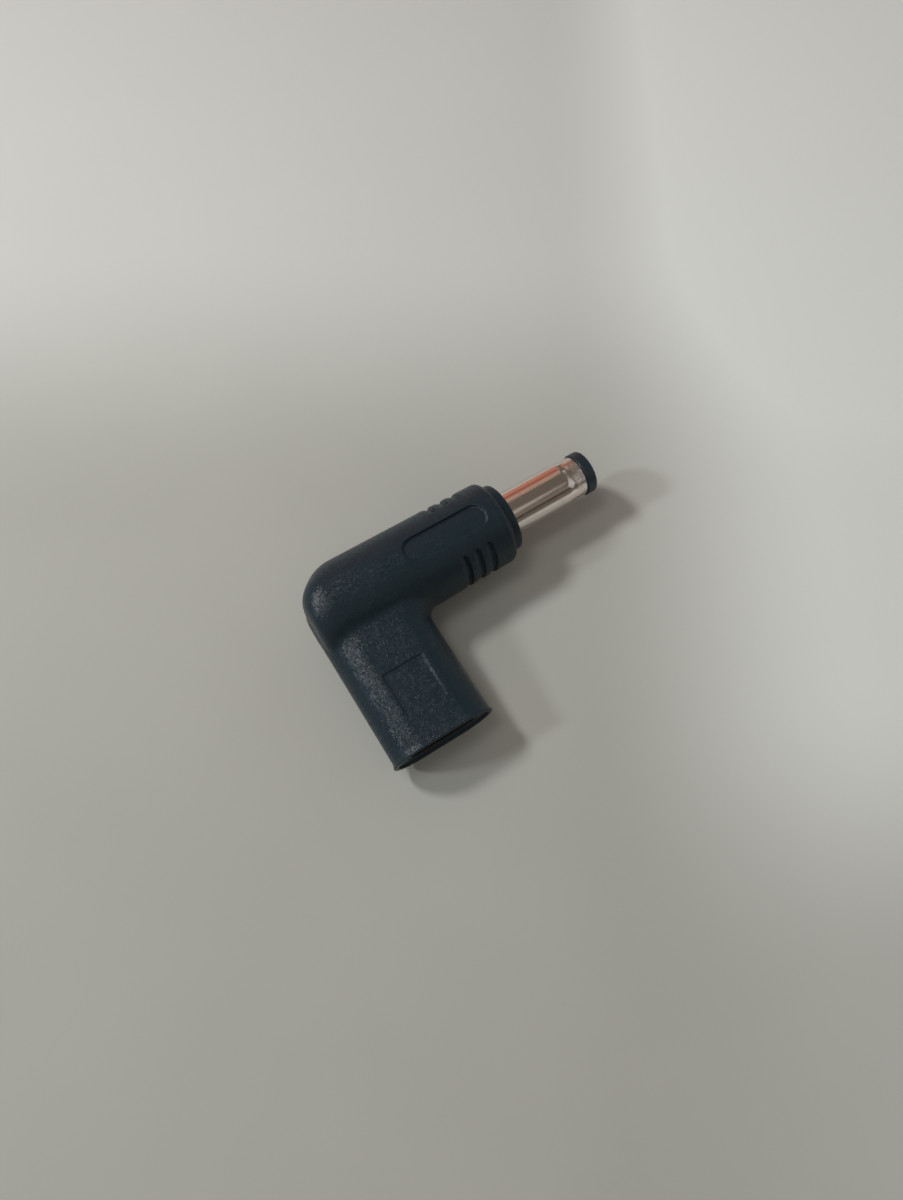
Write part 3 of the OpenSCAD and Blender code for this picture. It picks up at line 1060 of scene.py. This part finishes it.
@dataclass
class BarrelPlug:
    """The plated sleeve with its rolled end, and the black tip that it holds."""

    radius: float = 2.75
    bore: float = 2.4
    length: float = 11.0
    band_l: float = 1.6
    band_depth: float = 0.18
    band_taper: float = 0.08
    band_step: float = 0.13
    ramp_l: float = 1.1
    steps: int = 10
    barrel_rings: int = 8
    lip_r: float = 0.15
    ledge: float = 0.2
    root_x: float = -5.5
    root_r: float = 2.95
    root_front: float = -0.3
    flange_r: float = 3.6
    flange_t: float = 0.7
    tip_l: float = 1.4
    tip_edge: float = 0.35
    tip_heel: float = 0.08
    hole_r: float = 1.05
    lead_in: float = 0.3
    rim_w: float = 0.06
    rim_l: float = 0.05
    contact_r: float = 1.45
    contact_front: float = 11.3
    ripple: float = 0.022
    ripples: int = 11
    swells: int = 4
    swell_share: float = 0.6
    swell_turn: float = 1.0
    ripple_start: Pair = (-0.3, 0.5)
    ripple_stop: Pair = (10.5, 10.9)
    ripple_skin: float = 0.05

    def sleeve(self) -> Piece:
        """Turns the sleeve and dimples the band that is rolled in round the tip.

        Returns:
            The piece.
        """
        band_x = self.length - self.band_l
        fall = self.band_depth - self.band_taper
        band_r = self.radius - self.band_depth
        barrel = [(float(x), self.radius) for x in range(1, self.barrel_rings + 1)]
        ramp, band = [], []
        for i in range(self.steps + 1):
            sunk = fall * ease(0.0, 1.0, i / self.steps)
            ramp.append((band_x - self.ramp_l + self.ramp_l * i / self.steps, self.radius - sunk))
            taper = self.band_taper * i / self.steps
            band.append((band_x + self.band_step * i, self.radius - fall - taper))
        lip = arc((self.length - self.lip_r, band_r - self.lip_r), self.lip_r, 90.0, 0.0, 5)
        inner = self.bore - self.band_depth
        outline = [
            (self.root_x, self.bore),
            (self.root_x, self.flange_r),
            (self.root_x + self.flange_t, self.flange_r),
            (self.root_x + self.flange_t, self.root_r),
            (self.root_front, self.root_r),
            (self.root_front, self.radius),
            *barrel,
            *ramp,
            *band[1:],
            *lip,
            (self.length, inner),
            (band_x, inner),
            (band_x - self.ledge, self.bore),
        ]
        piece = turned("plated_sleeve", outline, steps=128, closed=True)
        start, full = (band_x + offset for offset in self.ripple_start)
        for point in piece.data.vertices:
            ring = math.hypot(point.co.y, point.co.z)
            if point.co.x > start and ring > band_r - self.ripple_skin:
                turn = math.atan2(point.co.z, point.co.y)
                swell = math.cos(self.swells * turn + self.swell_turn)
                wave = math.cos(self.ripples * turn) + self.swell_share * swell
                grown = ease(start, full, point.co.x) * (1.0 - ease(*self.ripple_stop, point.co.x))
                scale = 1.0 + self.ripple * wave * grown / ring
                point.co.y *= scale
                point.co.z *= scale
        return piece

    def tip(self) -> Piece:
        """Turns the tip with the liner behind it and the hole for the pin.

        Returns:
            The piece.
        """
        band_x = self.length - self.band_l
        inner = self.bore - self.band_depth
        front = self.length + self.tip_l
        nose = arc((front - self.tip_edge, self.radius - self.tip_edge), self.tip_edge, 90.0, 0.0, 8)
        outline = [
            (self.root_x, self.contact_r),
            (self.root_x, self.bore),
            (band_x - self.ledge, self.bore),
            (band_x, inner),
            (self.length, inner),
            (self.length, self.radius - self.tip_heel),
            (self.length + self.tip_heel, self.radius),
            *nose,
            (front, self.hole_r + self.lead_in + self.rim_w),
            (front - self.rim_l, self.hole_r + self.lead_in),
            (front - self.lead_in, self.hole_r),
            (self.contact_front, self.hole_r),
            (self.contact_front, self.contact_r),
        ]
        return turned("insulating_tip", outline, steps=128, closed=True)

    def dress(self) -> None:
        """Builds and dresses both pieces."""
        metal, plastic = TurnedMetal("warm_plated_sleeve"), SmoothPlastic("black_tip_plastic")
        install(self.sleeve(), metal, "plug_sleeve", angle=35.0)
        install(self.tip(), plastic, "tip_insulator", angle=35.0)


class CarriedNodes:
    """The CAD nodes that stay as they are and get a finish: the socket and what lies inside the housing."""

    def finishes(self) -> dict[str, Finish]:
        """Names the finish of each node.

        Returns:
            Finishes by node.
        """
        plug, socket = Grain.DRAWN_ALONG_PLUG, Grain.DRAWN_ALONG_SOCKET
        brass = BareMetal("spring_brass", (0.72, 0.53, 0.24), (0.42, 0.30, 0.15), 0.28, 0.10, plug)
        tinned = BareMetal("tinned_strip", (0.66, 0.655, 0.63), (0.42, 0.41, 0.39), 0.32, 0.14, plug)
        copper = BareMetal("drawn_copper", (0.82, 0.43, 0.29), (0.45, 0.20, 0.12), 0.30, 0.08)
        solder = BareMetal("solder_bead", (0.62, 0.62, 0.61), (0.36, 0.36, 0.35), 0.38, 0.20)
        # Painted shade: the socket's shell and tongue plate are darkened to near black to stand for the shade
        # inside the mouth.
        shade_dark_steel = BareMetal("painted_shade_shell_steel", (0.065, 0.067, 0.072), (0.04, 0.041, 0.044), 0.42, 0.09, socket)
        gold = BareMetal("gilt_contact", (0.88, 0.66, 0.30), (0.60, 0.42, 0.17), 0.22, 0.06, socket)
        red = SmoothPlastic("red_insulation", (0.30, 0.014, 0.012), (0.40, 0.026, 0.02), 0.42, 0.10)
        black = SmoothPlastic("black_insulation", (0.008, 0.008, 0.009), (0.015, 0.015, 0.017), 0.45, 0.10)
        chip = SmoothPlastic("chip_ceramic", (0.02, 0.02, 0.022), (0.05, 0.05, 0.052), 0.40, 0.08)
        bush = SmoothPlastic("ivory_bush", (0.45, 0.43, 0.36), (0.56, 0.54, 0.47), 0.42, 0.10)
        tongue = SmoothPlastic("tongue_plastic", (0.010, 0.010, 0.011), (0.020, 0.020, 0.021), 0.40, 0.10)
        return {
            "centre_contact": brass,
            "rear_bush": bush,
            "sleeve_tag": tinned,
            "centre_tag": tinned,
            "positive_lead": red,
            "negative_lead": black,
            "positive_core": copper,
            "negative_core": copper,
            "solder_joints": solder,
            "circuit_board": Laminate("green_board"),
            "chip_resistors": chip,
            "socket_shell": shade_dark_steel,
            "socket_tongue": tongue,
            "tongue_plate": shade_dark_steel,
            "upper_contacts": gold,
            "lower_contacts": gold,
        }

    def dress(self) -> None:
        """Gives each node its finish."""
        for name, finish in self.finishes().items():
            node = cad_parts[name]
            for slot in node.material_slots:
                slot.material = finish.material()
            LOG.info("%s: %s", name, finish.name)


@dataclass
class Studio:
    """The table, the lights, the cards that the metal mirrors, and the camera."""

    eye: Place = (-35.2947, -33.3634, 100.9213)
    right: Place = (0.8442, -0.5330, 0.0560)
    up: Place = (0.4870, 0.8065, 0.3352)
    lens: float = 27.15
    lamp_aim: Place = (-12.0, -6.0, 0.0)
    card_aim: Place = (-4.0, 0.0, 0.0)
    room: Colour = (0.13, 0.114, 0.093)
    table_tilt: float = 5.6
    table_depth: float = 5.55
    table_size: float = 1600.0

    def camera(self) -> None:
        """Sets the camera where the photograph was taken from."""
        data = bpy.data.cameras.new("camera")
        data.lens = self.lens
        data.sensor_width = 36.0
        data.clip_start = 0.005
        eye = bpy.data.objects.new("camera", data)
        right, up = Vector(self.right), Vector(self.up)
        turn = Matrix((right, up, right.cross(up))).transposed().to_4x4()
        eye.matrix_world = Matrix.Translation(Vector(self.eye) * MM) @ turn
        bpy.context.collection.objects.link(eye)
        bpy.context.scene.camera = eye

    def table_normal(self) -> Vector:
        """The upward direction of the table, on which the part lies on its round arm and its mouth."""
        tilt = math.radians(self.table_tilt)
        return Vector((0.0, math.sin(tilt), math.cos(tilt)))

    def table(self) -> None:
        """Lays the table under the part."""
        table = primitive("plane", "table", size=self.table_size)
        with editing(table):
            bpy.ops.mesh.subdivide(number_cuts=7)
        turn = Vector((0.0, 0.0, 1.0)).rotation_difference(self.table_normal()).to_matrix().to_4x4()
        table.data.transform(Matrix.Translation(self.table_normal() * -self.table_depth) @ turn)
        table.data.transform(Matrix.Scale(MM, 4))
        table.data.materials.append(TableTop("pale_table").material())

    @staticmethod
    def facing(place: Place, aim: Place) -> Matrix:
        """The turn that makes what stands at a place look at an aim."""
        return (Vector(aim) - Vector(place)).to_track_quat("-Z", "Y").to_matrix().to_4x4()

    def lamp(self, name: str, place: Place, size: Pair, watts: float, tint: Colour) -> None:
        """Hangs a soft lamp that points at the part.

        Args:
            name: The lamp's name.
            place: Its place in millimetres.
            size: Its width and height in millimetres.
            watts: Its power.
            tint: Its colour.
        """
        data = bpy.data.lights.new(name, "AREA")
        data.shape = "RECTANGLE"
        data.size, data.size_y = size[0] * MM, size[1] * MM
        data.energy = watts
        data.color = tint
        lamp = bpy.data.objects.new(name, data)
        lamp.matrix_world = Matrix.Translation(Vector(place) * MM) @ self.facing(place, self.lamp_aim)
        lamp.visible_camera = False
        bpy.context.collection.objects.link(lamp)

    def card(self, name: str, place: Place, size: Pair, glow: Colour) -> None:
        """Stands a card that faces the part and that only mirrors show.

        Args:
            name: The card's name.
            place: Its place in millimetres.
            size: Its width and height in millimetres.
            glow: Its light.
        """
        card = primitive("plane", name, size=1.0)
        with editing(card):
            bpy.ops.mesh.subdivide(number_cuts=3)
            bpy.ops.transform.resize(value=(size[0], size[1], 1.0), center_override=ORIGIN)
        card.data.transform(Matrix.Translation(Vector(place)) @ self.facing(place, self.card_aim))
        card.data.transform(Matrix.Scale(MM, 4))
        card.data.materials.append(Card(name, glow).material())
        card.visible_camera = False
        card.visible_shadow = False

    def world(self) -> None:
        """Fills the room with a plain, dim, warm grey."""
        world = bpy.data.worlds.new("room")
        world.use_nodes = True
        graph = Graph(world.node_tree)
        light = graph.add("Background", sockets={"Color": (*self.room, 1.0), "Strength": 1.0})
        graph.add("OutputWorld", sockets={"Surface": light})
        bpy.context.scene.world = world

    def build(self) -> None:
        """Sets up the whole studio."""
        self.camera()
        self.table()
        self.world()
        self.lamp("key", (-131.0, 171.0, 211.0), (43.0, 43.0), 0.417, (0.99, 0.99, 0.97))
        self.lamp("side", (-540.0, 258.0, 372.0), (70.0, 70.0), 1.28, (0.94, 0.97, 1.0))
        self.lamp("room", (-180.0, -205.0, 300.0), (700.0, 700.0), 0.42, (1.0, 0.94, 0.86))
        self.lamp("sky", (-124.0, 85.0, 420.0), (120.0, 120.0), 0.24, (1.0, 0.96, 0.91))
        self.lamp("fill", (300.0, -39.0, 150.0), (600.0, 300.0), 0.22, (0.93, 0.97, 1.0))
        self.card("cream_card", (70.0, 392.0, 190.0), (340.0, 500.0), (0.50, 0.335, 0.262))
        self.card("warm_card", (47.0, 373.0, 36.0), (300.0, 140.0), (0.62, 0.26, 0.185))
        self.card("dim_card", (47.0, 366.0, 172.0), (300.0, 129.0), (0.34, 0.13, 0.083))
        self.card("dark_card", (166.0, -373.0, 195.0), (500.0, 80.0), (0.06, 0.05, 0.037))
        self.card("left_card", (-420.0, 90.0, 75.0), (320.0, 150.0), (0.42, 0.42, 0.43))
        self.card("pale_card", (166.0, -373.0, 307.0), (500.0, 45.0), (0.21, 0.175, 0.145))
        bpy.context.scene.view_settings.view_transform = "Standard"


def main() -> None:
    """Builds the part's pieces in order, then the studio."""
    logging.basicConfig(level=logging.INFO, format="%(name)s: %(message)s")
    Housing().dress()
    BarrelPlug().dress()
    CarriedNodes().dress()
    Studio().build()


if __name__ == "__main__":
    main()
